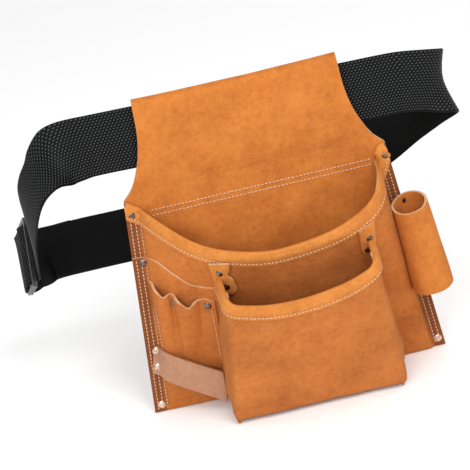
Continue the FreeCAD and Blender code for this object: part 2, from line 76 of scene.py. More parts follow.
def suede(name, deep, base, pale, nap=1.0, seams=False):
    """Napped split leather: mottled by handling, with short fibres lying in all directions."""
    material = bpy.data.materials.new(name)
    material.use_nodes = True
    nodes = material.node_tree.nodes
    links = material.node_tree.links
    shader = nodes["Principled BSDF"]
    shader.inputs["Roughness"].default_value = 0.92
    shader.inputs["Specular IOR Level"].default_value = 0.08
    shader.inputs["Sheen Weight"].default_value = 0.10
    shader.inputs["Sheen Roughness"].default_value = 0.45
    shader.inputs["Sheen Tint"].default_value = (1.0, 0.55, 0.25, 1)
    place = nodes.new("ShaderNodeTexCoord")
    cloud = nodes.new("ShaderNodeTexNoise")
    cloud.inputs["Scale"].default_value = 34
    cloud.inputs["Detail"].default_value = 6
    cloud.inputs["Roughness"].default_value = 0.62
    brushed = nodes.new("ShaderNodeTexNoise")
    brushed.inputs["Scale"].default_value = 230
    brushed.inputs["Detail"].default_value = 5
    brushed.inputs["Roughness"].default_value = 0.7
    fibre = nodes.new("ShaderNodeTexNoise")
    fibre.inputs["Scale"].default_value = 1500
    fibre.inputs["Detail"].default_value = 3
    for texture in (cloud, brushed, fibre):
        links.new(place.outputs["Object"], texture.inputs["Vector"])
    mix = nodes.new("ShaderNodeMix")
    mix.inputs["Factor"].default_value = 0.45
    links.new(cloud.outputs["Fac"], mix.inputs["A"])
    links.new(brushed.outputs["Fac"], mix.inputs["B"])
    grain = nodes.new("ShaderNodeMix")
    grain.inputs["Factor"].default_value = 0.3 * nap
    links.new(mix.outputs["Result"], grain.inputs["A"])
    links.new(fibre.outputs["Fac"], grain.inputs["B"])
    ramp = nodes.new("ShaderNodeValToRGB")
    ramp.color_ramp.elements[0].position = 0.34
    ramp.color_ramp.elements[0].color = (*deep, 1)
    ramp.color_ramp.elements[1].position = 0.68
    ramp.color_ramp.elements[1].color = (*pale, 1)
    middle = ramp.color_ramp.elements.new(0.5)
    middle.color = (*base, 1)
    links.new(grain.outputs["Result"], ramp.inputs["Fac"])
    colour = ramp.outputs["Color"]
    if seams:
        # the sewn side seams are darkened by oil and wear: how far out, past the belly's edge
        split = nodes.new("ShaderNodeSeparateXYZ")
        links.new(place.outputs["Object"], split.inputs["Vector"])
        across = nodes.new("ShaderNodeMath")
        across.operation = "ABSOLUTE"
        links.new(split.outputs["X"], across.inputs[0])
        spread_out = nodes.new("ShaderNodeMath")
        spread_out.operation = "MULTIPLY_ADD"
        spread_out.inputs[1].default_value = 0.0963
        links.new(split.outputs["Z"], spread_out.inputs[0])
        links.new(across.outputs["Value"], spread_out.inputs[2])
        ragged = nodes.new("ShaderNodeMath")
        ragged.operation = "MULTIPLY_ADD"
        ragged.inputs[1].default_value = 0.006
        links.new(brushed.outputs["Fac"], ragged.inputs[0])
        links.new(spread_out.outputs["Value"], ragged.inputs[2])
        edge = nodes.new("ShaderNodeMapRange")
        edge.inputs["From Min"].default_value = 0.0915
        edge.inputs["From Max"].default_value = 0.0965
        edge.inputs["To Max"].default_value = 0.8
        links.new(ragged.outputs["Value"], edge.inputs["Value"])
        dark = nodes.new("ShaderNodeMix")
        dark.data_type = "RGBA"
        for socket in dark.inputs:
            if socket.name == "B" and socket.type == "RGBA":
                socket.default_value = (0.13, 0.040, 0.018, 1)
            if socket.name == "A" and socket.type == "RGBA":
                links.new(colour, socket)
        links.new(edge.outputs["Result"], dark.inputs["Factor"])
        colour = [socket for socket in dark.outputs if socket.type == "RGBA"][0]
    links.new(colour, shader.inputs["Base Color"])
    bump = nodes.new("ShaderNodeBump")
    bump.inputs["Strength"].default_value = 0.7 * nap
    bump.inputs["Distance"].default_value = 0.0005
    links.new(fibre.outputs["Fac"], bump.inputs["Height"])
    lumps = nodes.new("ShaderNodeBump")
    lumps.inputs["Strength"].default_value = 0.3 * nap
    lumps.inputs["Distance"].default_value = 0.001
    links.new(brushed.outputs["Fac"], lumps.inputs["Height"])
    links.new(bump.outputs["Normal"], lumps.inputs["Normal"])
    links.new(lumps.outputs["Normal"], shader.inputs["Normal"])
    return material


golden_suede = suede("golden_suede", (0.34, 0.095, 0.022), (0.50, 0.158, 0.031), (0.62, 0.225, 0.050))
cut_edge = suede("cut_leather_edge", (0.42, 0.22, 0.11), (0.60, 0.36, 0.20), (0.74, 0.50, 0.31), 1.6)


def leather_sheet(name, place, across, along, thick, skin, edge, body="pouch"):
    """A sheet of leather laid by place(u, v), u and v from -1 to 1, thickened behind its face."""
    bpy.ops.object.select_all(action="DESELECT")
    bpy.ops.mesh.primitive_grid_add(x_subdivisions=across, y_subdivisions=along, size=2)
    piece = bpy.context.active_object
    piece.name = name
    for vertex in piece.data.vertices:
        vertex.co = place(vertex.co.x, vertex.co.y)
    piece.data.materials.append(skin)
    piece.data.materials.append(edge)
    wall = piece.modifiers.new("wall", "SOLIDIFY")
    wall.thickness = thick
    wall.offset = -1
    wall.material_offset_rim = 1
    soft = piece.modifiers.new("worn edge", "BEVEL")
    soft.width = min(0.0005, thick * 0.24)
    soft.segments = 2
    soft.limit_method = "ANGLE"
    soft.angle_limit = math.radians(50)
    bpy.ops.object.modifier_apply(modifier="wall")
    bpy.ops.object.modifier_apply(modifier="worn edge")
    bpy.ops.object.shade_smooth_by_angle(angle=math.radians(40))
    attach(piece, body)
    return piece


fold_top = 0.033
fold_half = 0.081
flare = [(-0.048, 0.106), (-0.0395, 0.098), (-0.027, 0.0915), (-0.012, 0.086), (0.006, 0.0825),
         (fold_top, fold_half)]
# The face of the hide from the bottom edge, up the front and over the fold: out from the middle, up.
fold_path = [(-0.0022, -0.235), (-0.0022, -0.15), (-0.0022, -0.085), (-0.0022, -0.052), (-0.0032, -0.043),
             (-0.0052, -0.034), (-0.0062, -0.022), (-0.0062, 0.0), (-0.0062, 0.020), (-0.0060, 0.0275),
             (-0.0042, 0.0314), (0.0, fold_top), (0.0042, 0.0314), (0.0060, 0.0275), (0.0062, 0.015),
             (0.0062, -0.012), (0.0058, -0.030), (0.0040, -0.040), (0.0024, -0.049), (0.0022, -0.060),
             (0.0022, -0.069)]
fold_crest = 11                      # the point of fold_path at the top of the fold


def on_fold(u, v):
    reach = (v + 1) / 2 * (len(fold_path) - 1)
    i = min(int(reach), len(fold_path) - 2)
    t = reach - i
    y = fold_path[i][0] * (1 - t) + fold_path[i + 1][0] * t
    z = fold_path[i][1] * (1 - t) + fold_path[i + 1][1] * t
    side = half_width(z) if z < shoulder else through(flare, z)
    if i >= fold_crest:
        side = fold_half
    x = u * side
    sag = 0.0011 * (1 - u * u) * math.exp(-((z - fold_top) / 0.02) ** 2)
    if z > -0.04:
        y += ripple(x, z, 0.0007) * (1 if i < fold_crest else -1)
    elif i < fold_crest and -0.20 < z < -0.066:
        ease = min(1.0, (-0.066 - z) / 0.012, (z + 0.20) / 0.02) * max(0.0, 1 - (u / 0.8) ** 4)
        y -= 0.0032 * ease * max(0.0, 0.35 + noise.noise(Vector((x * 26 + 3, z * 34, 9.0))))
    return Vector((x, y, z - sag))


back_panel = leather_sheet("back_panel_leather", on_fold, 70, 160, hide, golden_suede, cut_edge)
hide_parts("back_panel")


# ---- main pocket ----------------------------------------------------------------------------------
# The big pocket is one hide, wider than the back, so that it stands out in a belly when its
# sides and foot are sewn flat to the back panel.
mouth_depth = 0.044
mouth_low = -0.098
mouth = [(-0.1065, -0.0478), (-0.1045, -0.049), (-0.098, -0.054), (-0.087, -0.062), (-0.060, -0.083),
         (-0.036, -0.0925), (0.004, -0.098), (0.046, -0.0935), (0.074, -0.084), (0.088, -0.0745),
         (0.0945, -0.064), (0.0985, -0.053), (0.1045, -0.049), (0.1065, -0.0478)]
left_fullness = 1.4                  # a slack left side
right_fullness = 4.0                 # a square right side
belly_share = 0.88                   # share of the sheet that lies between the sewn seams


def front_y(x, z, off):
    """Face of whatever lies off in front of the back of the pouch, at a place on the pocket."""
    inner = half_width(z) - seam_width
    u = min(abs(x) / inner, 1.0)
    power = left_fullness if x < 0 else right_fullness
    depth = 0.003 + mouth_depth * (min(z, mouth_low) - bottom) / (mouth_low - bottom)
    share = max(0.0, 1.0 - u ** power) ** (1.0 / power)
    return -off - depth * share + ripple(x, z) * min(1.0, share * 3)


def spread(u, z):
    """Across the pocket, with close steps where the belly rises from the sewn seams."""
    outer = half_width(z)
    inner = outer - seam_width
    if abs(u) > belly_share:
        return math.copysign(inner + (abs(u) - belly_share) / (1 - belly_share) * seam_width, u)
    return inner * math.sin(math.pi / 2 * u / belly_share)


def on_pocket(u, v):
    top = mouth_low
    for _ in range(12):
        top = 0.5 * top + 0.5 * through(mouth, spread(u, top))
    z = bottom + (top - bottom) * (v + 1) / 2
    x = spread(u, z)
    return Vector((x, front_y(x, z, 2 * hide), z))


pocket_suede = suede("pocket_suede", (0.31, 0.085, 0.022), (0.46, 0.142, 0.032), (0.57, 0.205, 0.050),
                     seams=True)
main_pocket = leather_sheet("main_pocket_leather", on_pocket, 110, 70, hide, pocket_suede, cut_edge)
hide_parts("main_pocket_front")


# ---- main pocket's edge binding -------------------------------------------------------------------
# A strip of thinner suede folded over the mouth, outside and inside, and sewn through near its
# lower edge.  It is rolled and soft, and a little lighter from handling.
trim = 0.0014
band = 0.012
bend = 0.0025                        # half the thickness of the roll at the mouth
line_steps = 120
mouth_count = 200
binding_suede = suede("binding_suede", (0.40, 0.125, 0.028), (0.55, 0.195, 0.042), (0.66, 0.28, 0.07))


def along_line(points, t):
    """Point and direction at share t of the length of a smooth line through points."""
    steps = [(points[0][0], points[0][1])]
    for i in range(1, line_steps + 1):
        x = points[0][0] + (points[-1][0] - points[0][0]) * i / line_steps
        steps.append((x, through(points, x)))
    lengths = [0.0]
    for a, b in zip(steps, steps[1:]):
        lengths.append(lengths[-1] + math.dist(a, b))
    want = min(max(t, 0.0), 1.0) * lengths[-1]
    for i in range(line_steps):
        if lengths[i + 1] >= want - 1e-12:
            share = (want - lengths[i]) / (lengths[i + 1] - lengths[i])
            a, b = steps[i], steps[i + 1]
            size = math.dist(a, b)
            return (a[0] + (b[0] - a[0]) * share, a[1] + (b[1] - a[1]) * share,
                    (b[0] - a[0]) / size, (b[1] - a[1]) / size)


def rolled(v, half, width, puff):
    """Where v, -1 outside to 1 inside, lies on a strip folded over an edge: below it, and outward."""
    leg = 0.40
    if v < -leg:
        s = (-leg - v) / (1 - leg)
        swell = puff * math.sin(math.pi * min(1, 1.25 * s)) if s < 0.8 else 0.0
        return half - trim + s * (width - half + trim), half + swell - 0.0004 * s
    if v > leg:
        s = (v - leg) / (1 - leg)
        return half - trim + s * (width - half + trim), -half
    angle = math.pi / 2 * v / leg
    return half - trim - half * math.cos(angle), -half * math.sin(angle)


mouth_run = mouth[1:-1]
mouth_steps = [along_line(mouth_run, i / mouth_count) for i in range(mouth_count + 1)]


def on_binding(u, v):
    x, z, dx, dz = mouth_steps[round((u + 1) / 2 * mouth_count)]
    below, out = rolled(v, bend, band, 0.0010)
    x += dz * below
    z -= dx * below
    x = min(max(x, -half_width(z)), half_width(z))
    return Vector((x, front_y(x, z, 0.0033 + out), z))


main_binding = leather_sheet("main_binding_leather", on_binding, mouth_count, 40, trim * 0.9, binding_suede,
                             cut_edge)
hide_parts("main_pocket_binding")


# ---- left pocket ----------------------------------------------------------------------------------
# A flat hide sewn over the left of the belly, between the side seam and the small bag.  Its waved
# mouth is a raw cut edge.
left_mouth = [(-0.125, -0.095), (-0.104, -0.096), (-0.093, -0.098), (-0.082, -0.1085), (-0.070, -0.1195),
              (-0.056, -0.124), (-0.040, -0.1255)]


def across_left(t, z):
    """Across the left pocket at a height: the first tenth is the sewn seam, the rest the belly."""
    outer = half_width(z)
    if t < 0.1:
        return -outer + seam_width * t / 0.1
    return -outer + seam_width + (outer - 0.055) * ((t - 0.1) / 0.9) ** 1.6


def on_left_pocket(u, v):
    t = (u + 1) / 2
    top = -0.12
    for _ in range(12):
        top = 0.5 * top + 0.5 * through(left_mouth, across_left(t, top))
    z = bottom + (top - bottom) * (v + 1) / 2
    x = across_left(t, z)
    return Vector((x, front_y(x, z, 3 * hide), z))


left_pocket = leather_sheet("left_pocket_leather", on_left_pocket, 60, 70, hide, pocket_suede, cut_edge)
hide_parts("left_pocket")


# ---- nail-set pocket ------------------------------------------------------------------------------
# A narrower hide with a scalloped mouth, sewn down in three columns so that two round channels
# stand open for nail sets and pencils.
scallops = [(-0.103, -0.114), (-0.099, -0.121), (-0.0935, -0.127), (-0.087, -0.1265), (-0.081, -0.133),
            (-0.0755, -0.138), (-0.069, -0.134), (-0.060, -0.1335), (-0.054, -0.1365)]
# Each channel: its middle at the top and at the foot, its half width, and how far it stands out.
channels = [(-0.0925, -0.0975, 0.0074, 0.0110), (-0.073, -0.079, 0.0110, 0.0115)]
channel_top = -0.112
channel_length = 0.084


def on_nail_set(u, v):
    s = (u + 1) / 2
    t = (v + 1) / 2
    foot_x = -0.106 + 0.048 * s
    foot_z = -0.184 - 0.020 * s
    top_x = -0.103 + 0.049 * s
    top_z = through(scallops, top_x)
    x = foot_x + (top_x - foot_x) * t
    z = foot_z + (top_z - foot_z) * t
    y = front_y(x, z, 4 * hide)
    for high_x, low_x, half, rise in channels:
        share = (channel_top - z) / channel_length
        middle = high_x + (low_x - high_x) * share
        height = max(rise * (1 - 0.88 * share), 0.0004)
        reach = abs(x - middle) / half
        if reach < 1:
            y = min(y, front_y(middle, z, 3 * hide) - height * math.sqrt(1 - reach * reach))
    return Vector((x, y, z))


nail_set_pocket = leather_sheet("nail_set_leather", on_nail_set, 90, 70, hide, pocket_suede, cut_edge)
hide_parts("nail_set_pocket")


# ---- tool strap -----------------------------------------------------------------------------------
# A strap of smooth pinkish-brown leather, riveted at the side seam and ending at the small bag's
# side, bowed out between so that a small tool's handle hangs in it.
strap_leather = suede("smooth_strap_leather", (0.30, 0.135, 0.072), (0.39, 0.187, 0.105),
                      (0.47, 0.245, 0.145), 0.45)
shader = strap_leather.node_tree.nodes["Principled BSDF"]
shader.inputs["Roughness"].default_value = 0.5
shader.inputs["Sheen Weight"].default_value = 0.0
shader.inputs["Specular IOR Level"].default_value = 0.4
strap_bow = [(-0.01, 0.0091), (0.0, 0.0091), (0.004, 0.0094), (0.009, 0.0162), (0.013, 0.0188),
             (0.018, 0.0207), (0.032, 0.0241), (0.044, 0.0266), (0.064, 0.0300)]
strap_length = 0.060
strap_half = 0.0122
strap_lean = math.radians(-28.7)


def on_strap(u, v):
    wide = strap_half * v
    run = strap_length * (u + 1) / 2 - 0.0028 * v * (1 - u) / 2 - 0.0055 * v * (1 + u) / 2
    x = -0.1143 + run * math.cos(strap_lean) - wide * math.sin(strap_lean)
    z = -0.1859 + run * math.sin(strap_lean) + wide * math.cos(strap_lean)
    return Vector((x, -through(strap_bow, run + 0.0045 * v), z))


tool_strap = leather_sheet("tool_strap_leather", on_strap, 50, 14, 0.0025, strap_leather, strap_leather)
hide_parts("tool_strap")


# ---- small bag ------------------------------------------------------------------------------------
# An open bag sewn to the belly of the main pocket: a front hide wrapped round both upright
# corners, and a gusset strip that makes its two sides and its floor.
bag_floor = -0.233
bag_height = 0.133
bag_mouth = [(-0.060, -0.110), (-0.050, -0.1125), (-0.0455, -0.1175), (-0.036, -0.123), (-0.012, -0.129),
             (0.014, -0.1305), (0.044, -0.1265), (0.066, -0.1185), (0.076, -0.111), (0.081, -0.104),
             (0.095, -0.103)]
round_corner = 0.011                 # size of the upright corners, up the bag
sharp_corner = 0.0035                # and at its foot
side_share = 0.62                    # s at which a side gives way to a corner
face_share = 0.46                    # s at which the corner gives way to the front
front_reach = 0.70                   # s at which the front hide ends, on either side
foot_roll = 0.004
roll_share = 0.16                    # share of the front hide's height that rolls under the foot
bag_count = 240


def bag_plan(z):
    """Corners of the bag at a height: rear left, front left, front right, rear right."""
    t = (z - bag_floor) / bag_height
    left = -0.060 + 0.0155 * t
    right = 0.082 - 0.005 * t
    front = -0.060 - 0.027 * t
    rear_left = -0.068 + 0.0215 * t
    rear_right = 0.091 - 0.014 * t
    return ((rear_left, front_y(rear_left, z, 2 * hide)), (left, front), (right, front),
            (rear_right, front_y(rear_right, z, 2 * hide)))


def arc(start, peak, end, t):
    return start * (1 - t) ** 2 + peak * 2 * t * (1 - t) + end * t * t


def bag_wall(s, z, out=0.0):
    """Face of the bag's wall: s from -1 at the rear left, round the front, to 1 at the rear right."""
    a, b, c, d = [Vector(p) for p in bag_plan(z)]
    side_left = (b - a).normalized()
    side_right = (d - c).normalized()
    corner = sharp_corner + (round_corner - sharp_corner) * min(max((z - bag_floor) / 0.05, 0.0), 1.0)
    normal_left = Vector((side_left.y, -side_left.x))
    normal_right = Vector((side_right.y, -side_right.x))
    forward = Vector((0, -1))
    if s < -side_share:
        t = (s + 1) / (1 - side_share)
        point = a.lerp(b - side_left * corner, t)
        normal = normal_left
    elif s > side_share:
        t = (s - side_share) / (1 - side_share)
        point = (c + side_right * corner).lerp(d, t)
        normal = normal_right
    elif s < -face_share:
        t = (s + side_share) / (side_share - face_share)
        point = arc(b - side_left * corner, b, b + Vector((corner, 0)), t)
        normal = normal_left.lerp(forward, t).normalized()
    elif s > face_share:
        t = (s - face_share) / (side_share - face_share)
        point = arc(c - Vector((corner, 0)), c, c + side_right * corner, t)
        normal = forward.lerp(normal_right, t).normalized()
    else:
        t = (s + face_share) / (2 * face_share)
        point = (b + Vector((corner, 0))).lerp(c - Vector((corner, 0)), t)
        normal = forward
    fall = min(max((z - bag_floor) / 0.11, 0.0), 1.0)
    belly = 0.0028 * math.sin(math.pi * fall ** 0.7) * (1 - min(1, (s / 0.6) ** 2))
    belly += 0.9 * ripple(point.x, z, 0.0011)
    belly += 0.0012 * noise.noise(Vector((point.x * 22, point.y * 22, z * 30)))
    point = point + normal * (out + belly - 0.0011)
    return Vector((point.x, point.y, z))


def bag_top(s):
    z = -0.12
    for _ in range(10):
        z = 0.5 * z + 0.5 * through(bag_mouth, bag_wall(s, z).x)
    return z


def on_bag_front(u, v):
    s = front_reach * u
    top = bag_top(s)
    t = (v + 1) / 2
    if t < roll_share:
        turn = (1 - t / roll_share) * math.pi / 2
        z = bag_floor + foot_roll * (1 - math.sin(turn))
        return bag_wall(s, z, -foot_roll * (1 - math.cos(turn)))
    z = bag_floor + foot_roll + (top - bag_floor - foot_roll) * (t - roll_share) / (1 - roll_share)
    return bag_wall(s, z)


bag_suede = suede("bag_suede", (0.30, 0.088, 0.024), (0.44, 0.140, 0.034), (0.55, 0.200, 0.052))
bag_front = leather_sheet("bag_front_leather", on_bag_front, 110, 70, hide, bag_suede, cut_edge)
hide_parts("bag_front")


def on_bag_gusset(u, v):
    """u runs down the left side, across the floor and up the right side; v from the rear to the front."""
    t = (v + 1) / 2
    low = 0.010
    if abs(u) > 0.4:
        side = math.copysign(1.0, u)
        share = (abs(u) - 0.4) / 0.6
        s = side * (1.0 - 0.36 * t)
        z = bag_floor + low + (bag_top(s) - bag_floor - low) * share
        return bag_wall(s, z, -0.0023 * min(1.0, max(0.0, (t - 0.7) / 0.12)))
    turn = u / 0.4
    a, b, c, d = bag_plan(bag_floor + low)
    left = a[0] + (b[0] - a[0]) * t
    right = d[0] + (c[0] - d[0]) * t
    back = -0.0075
    y = back + (b[1] + 0.0085 - back) * t
    left += 0.006
    right -= 0.006
    x = (left + right) / 2 + (right - left) / 2 * turn
    lift = max(0.0, (abs(turn) - 0.88) / 0.12)
    return Vector((x, y, bag_floor + 0.0006 + low * lift ** 2))


bag_gusset = leather_sheet("bag_gusset_leather", on_bag_gusset, 150, 30, hide, bag_suede, cut_edge)
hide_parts("bag_gusset")


# ---- bag binding and tabs -------------------------------------------------------------------------
# The bag's mouth has the same folded strip, and the bag hangs from two short tabs riveted to the
# main pocket.
bag_steps = [(s, bag_top(s)) for s in (-1 + 2 * i / bag_count for i in range(bag_count + 1))]


def on_bag_binding(u, v):
    s, z = bag_steps[round((u + 1) / 2 * bag_count)]
    below, out = rolled(v, bend, band, 0.0012)
    return bag_wall(s, z - below, out - hide / 2)


bag_binding = leather_sheet("bag_binding_leather", on_bag_binding, bag_count, 40, trim * 0.9, binding_suede,
                            cut_edge)
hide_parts("bag_binding")


def lay_tab(name, corners, off, node, waist=0.0):
    """A tab on the pocket's face; corners run from the upper left, clockwise; waist narrows it."""
    def on_tab(u, v):
        s, t = (u + 1) / 2, (v + 1) / 2
        low = [corners[3][i] * (1 - s) + corners[2][i] * s for i in (0, 1)]
        high = [corners[0][i] * (1 - s) + corners[1][i] * s for i in (0, 1)]
        round_off = 0.0035 * abs(u) ** 4 * (1 - t) ** 6
        x = low[0] * (1 - t) + high[0] * t - waist * s * math.exp(-((t - 0.62) / 0.12) ** 2)
        z = low[1] * (1 - t) + high[1] * t + round_off
        return Vector((x, front_y(x, z, off) - 0.0007 * (1 - u * u), z))
    piece = leather_sheet(name, on_tab, 16, 30, hide, binding_suede, cut_edge)
    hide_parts(node)


lay_tab("left_hanging_tab", [(-0.052, -0.100), (-0.0365, -0.101), (-0.034, -0.130), (-0.049, -0.130)],
        4 * hide, "bag_tab_left", 0.0032)
lay_tab("right_hanging_tab", [(0.068, -0.097), (0.082, -0.094), (0.080, -0.120), (0.068, -0.120)],
        3 * hide, "bag_tab_right")


# ---- tool tube ------------------------------------------------------------------------------------
# A piece of suede rolled into a tube, open at both ends, its edges caught in the right side seam.
# Its mouth is cut higher at the back.
tube_top = Vector((0.1142, -0.0206, -0.096))
tube_length = 0.076
tube_lean = math.radians(5.5)
mouth_slant = math.radians(12)


def on_tube(u, v):
    angle = math.pi * (u + 1) + math.pi / 2
    axis = Vector((math.sin(tube_lean), 0, -math.cos(tube_lean)))
    side = Vector((math.cos(tube_lean), 0, math.sin(tube_lean)))
    out = side * math.cos(angle) + Vector((0, 1, 0)) * math.sin(angle)
    t = (1 - v) / 2
    start = -0.0156 * math.sin(angle) * math.sin(mouth_slant)
    run = start + (tube_length - start) * t
    radius = 0.0149 + 0.0017 * t + 0.0004 * math.sin(2 * angle)
    radius += 0.0007 * noise.noise(Vector((math.cos(angle) * 1.6, math.sin(angle) * 1.6, run * 40)))
    return tube_top + axis * run + out * radius


tool_tube = leather_sheet("tool_tube_leather", on_tube, 72, 44, hide, golden_suede, cut_edge)
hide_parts("tool_tube")


# ---- tube rivet -----------------------------------------------------------------------------------
# The rivet that holds the tube's back to the side seam, set from inside the tube: a low dome with
# a turned rim.
rivet_spot = (0.1098, -0.0074, -0.0988)
rim_spot = (0.1098, -0.0076, -0.0988)
bpy.ops.object.select_all(action="DESELECT")
bpy.ops.mesh.primitive_uv_sphere_add(segments=28, ring_count=14, radius=0.0034, location=rivet_spot)
bpy.ops.object.mode_set(mode="EDIT")
bpy.ops.mesh.bisect(plane_co=rivet_spot, plane_no=(0, 1, 0), use_fill=True, clear_outer=True)
bpy.ops.mesh.select_all(action="SELECT")
bpy.ops.transform.resize(value=(1, 0.36, 1), center_override=rivet_spot)
bpy.ops.mesh.primitive_torus_add(location=rim_spot, rotation=(math.pi / 2, 0, 0), major_radius=0.0032,
                                 minor_radius=0.0004, major_segments=36, minor_segments=8)
bpy.ops.object.mode_set(mode="OBJECT")
bpy.ops.object.transform_apply(location=True, rotation=True, scale=True)
bpy.ops.object.shade_smooth_by_angle(angle=math.radians(50))
tube_rivet = bpy.context.active_object
tube_rivet.name = "tube_rivet_dome"
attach(tube_rivet, "pouch")
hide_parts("tube_rivet")


# ---- rivets ---------------------------------------------------------------------------------------
# Tubular rivets with domed heads, nickel plated and dulled.
rivet_metal = bpy.data.materials.new("dull_nickel")
rivet_metal.use_nodes = True
nodes = rivet_metal.node_tree.nodes
links = rivet_metal.node_tree.links
shader = nodes["Principled BSDF"]
shader.inputs["Metallic"].default_value = 1.0
shader.inputs["Base Color"].default_value = (0.52, 0.48, 0.44, 1)
place = nodes.new("ShaderNodeTexCoord")
tarnish = nodes.new("ShaderNodeTexNoise")
tarnish.inputs["Scale"].default_value = 700
tarnish.inputs["Detail"].default_value = 4
links.new(place.outputs["Object"], tarnish.inputs["Vector"])
ramp = nodes.new("ShaderNodeValToRGB")
ramp.color_ramp.elements[0].color = (0.035, 0.025, 0.02, 1)
ramp.color_ramp.elements[1].color = (0.27, 0.20, 0.16, 1)
ramp.color_ramp.elements[0].position = 0.35
ramp.color_ramp.elements[1].position = 0.6
links.new(tarnish.outputs["Fac"], ramp.inputs["Fac"])
links.new(ramp.outputs["Color"], shader.inputs["Base Color"])
rough = nodes.new("ShaderNodeMapRange")
rough.inputs["To Min"].default_value = 0.42
rough.inputs["To Max"].default_value = 0.24
links.new(tarnish.outputs["Fac"], rough.inputs["Value"])
links.new(rough.outputs["Result"], shader.inputs["Roughness"])


def coat(piece, material):
    piece.data.materials.clear()
    piece.data.materials.append(material)


for node in ("mouth_rivets", "left_pocket_rivet", "nail_set_rivets", "bag_tab_rivets", "bag_inner_rivets"):
    coat(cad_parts[node], rivet_metal)
coat(tube_rivet, rivet_metal)
# The four at the strap and the pouch's foot have rubbed through to bright copper.
worn_copper = rivet_metal.copy()
worn_copper.name = "worn_copper"
ramp = worn_copper.node_tree.nodes["Color Ramp"]
ramp.color_ramp.elements[0].color = (0.35, 0.17, 0.10, 1)
ramp.color_ramp.elements[1].color = (0.88, 0.68, 0.54, 1)
for node in ("strap_rivets", "corner_rivets"):
    coat(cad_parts[node], worn_copper)


# ---- stitching ------------------------------------------------------------------------------------
# Thick waxed thread, cream against the suede, sewn at about 3 mm a stitch through all the layers.
thread = bpy.data.materials.new("waxed_thread")
thread.use_nodes = True
nodes = thread.node_tree.nodes
links = thread.node_tree.links
shader = nodes["Principled BSDF"]
shader.inputs["Roughness"].default_value = 0.6
place = nodes.new("ShaderNodeTexCoord")
twist = nodes.new("ShaderNodeTexNoise")
twist.inputs["Scale"].default_value = 900
links.new(place.outputs["Object"], twist.inputs["Vector"])
ramp = nodes.new("ShaderNodeValToRGB")
ramp.color_ramp.elements[0].color = (0.40, 0.19, 0.10, 1)
ramp.color_ramp.elements[1].color = (0.80, 0.52, 0.34, 1)
links.new(twist.outputs["Fac"], ramp.inputs["Fac"])
links.new(ramp.outputs["Color"], shader.inputs["Base Color"])


stitch_pitch = 0.0031
stitch_length = 0.0025
stitch_radius = 0.00058
stitch_rise = 0.0001


def sew(name, path):
    """A row of stitches along points on a face; each is a short bead with tapering ends."""
    bpy.ops.object.select_all(action="DESELECT")
    bpy.ops.mesh.primitive_uv_sphere_add(segments=6, ring_count=5, radius=1)
    bead = bpy.context.active_object
    bead.name = name
    shape = [v.co.copy() for v in bead.data.vertices]
    sides = [tuple(f.vertices) for f in bead.data.polygons]
    spots, faces = [], []
    gone = stitch_pitch / 2
    for a, b in zip(path, path[1:]):
        step = b - a
        size = step.length
        if size < 1e-9:
            continue
        run = step / size
        while gone < size:
            middle = a + run * gone
            uneven = noise.noise_vector(middle * 900)
            turn = (run + uneven * 0.22).to_track_quat("Z", "Y").to_matrix()
            middle = middle + Vector((uneven.x, 0, uneven.z)) * 0.00022
            first = len(spots)
            for p in shape:
                local = Vector((p.x * stitch_radius, p.y * stitch_radius, p.z * stitch_length / 2))
                spots.append(middle + turn @ local)
            faces += [tuple(first + i for i in side) for side in sides]
            gone += stitch_pitch
        gone -= size
    bead.data.clear_geometry()
    bead.data.from_pydata(spots, [], faces)
    bead.data.materials.append(thread)
    bpy.ops.object.shade_smooth()
    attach(bead, "pouch")


def row(place, count=160):
    return [place(i / count) for i in range(count + 1)]


def below_mouth(t, below):
    x, z, dx, dz = mouth_steps[round(t * mouth_count)]
    x += dz * below
    z -= dx * below
    return Vector((x, front_y(x, z, 0.0059), z))


def below_bag_mouth(t):
    s = -0.97 + 1.94 * t
    return bag_wall(s, bag_top(s) - 0.0094, 0.0016)


def on_face(x, z, off):
    return Vector((x, front_y(x, z, off) - stitch_rise, z))


def on_side(side, z, inset, off):
    """A point set in from the pouch's left (-1) or right (1) edge, on the hide that lies off in front."""
    return on_face(side * (half_width(z) - inset), z, off)


sew("main_binding_stitches", row(lambda t: below_mouth(0.03 + 0.94 * t, 0.0094), 94))
sew("bag_binding_stitches", row(below_bag_mouth))
for i, z in enumerate((-0.0600, -0.0645)):
    sew(f"fold_stitches_{i + 1}", row(lambda t: Vector((-0.087 + 0.180 * t, -0.0023, z))))
    sew(f"leaf_stitches_{i + 1}", row(lambda t: Vector((-0.078 + 0.156 * t, 0.0023, z))))
for i, inset in enumerate((0.0032, 0.0072, 0.0110)):
    sew(f"left_seam_stitches_{i + 1}", row(lambda t: on_side(-1, -0.063 - 0.033 * t, inset, 2 * hide)))
    sew(f"left_pocket_seam_stitches_{i + 1}",
        row(lambda t: on_side(-1, -0.0975 - 0.1345 * t, inset, 3 * hide)))
for i, inset in enumerate((0.0035, 0.0078)):
    sew(f"right_seam_stitches_{i + 1}", row(lambda t: on_side(1, -0.065 - 0.167 * t, inset, 2 * hide)))
for i, (high, low) in enumerate((((-0.1005, -0.123), (-0.1045, -0.182)),
                                 ((-0.0845, -0.139), (-0.089, -0.190)),
                                 ((-0.0575, -0.144), (-0.060, -0.202)))):
    sew(f"channel_stitches_{i + 1}", row(lambda t: on_face(
        high[0] + (low[0] - high[0]) * t, high[1] + (low[1] - high[1]) * t, 4 * hide)))


# ---- belt -----------------------------------------------------------------------------------------
# One length of 2 inch black polypropylene webbing.  It runs through the pouch's fold, is sewn round
# the buckle's fixed bar at one end, and threads back through the buckle to its free end.
buckle = Vector((-0.199, 0.061, -0.100))
along_buckle = Vector((-0.308, 0.753, -0.582)).normalized()
across_buckle = Vector((0.034, 0.62, 0.784))
across_buckle = (across_buckle - along_buckle * across_buckle.dot(along_buckle)).normalized()
inward = along_buckle.cross(across_buckle)


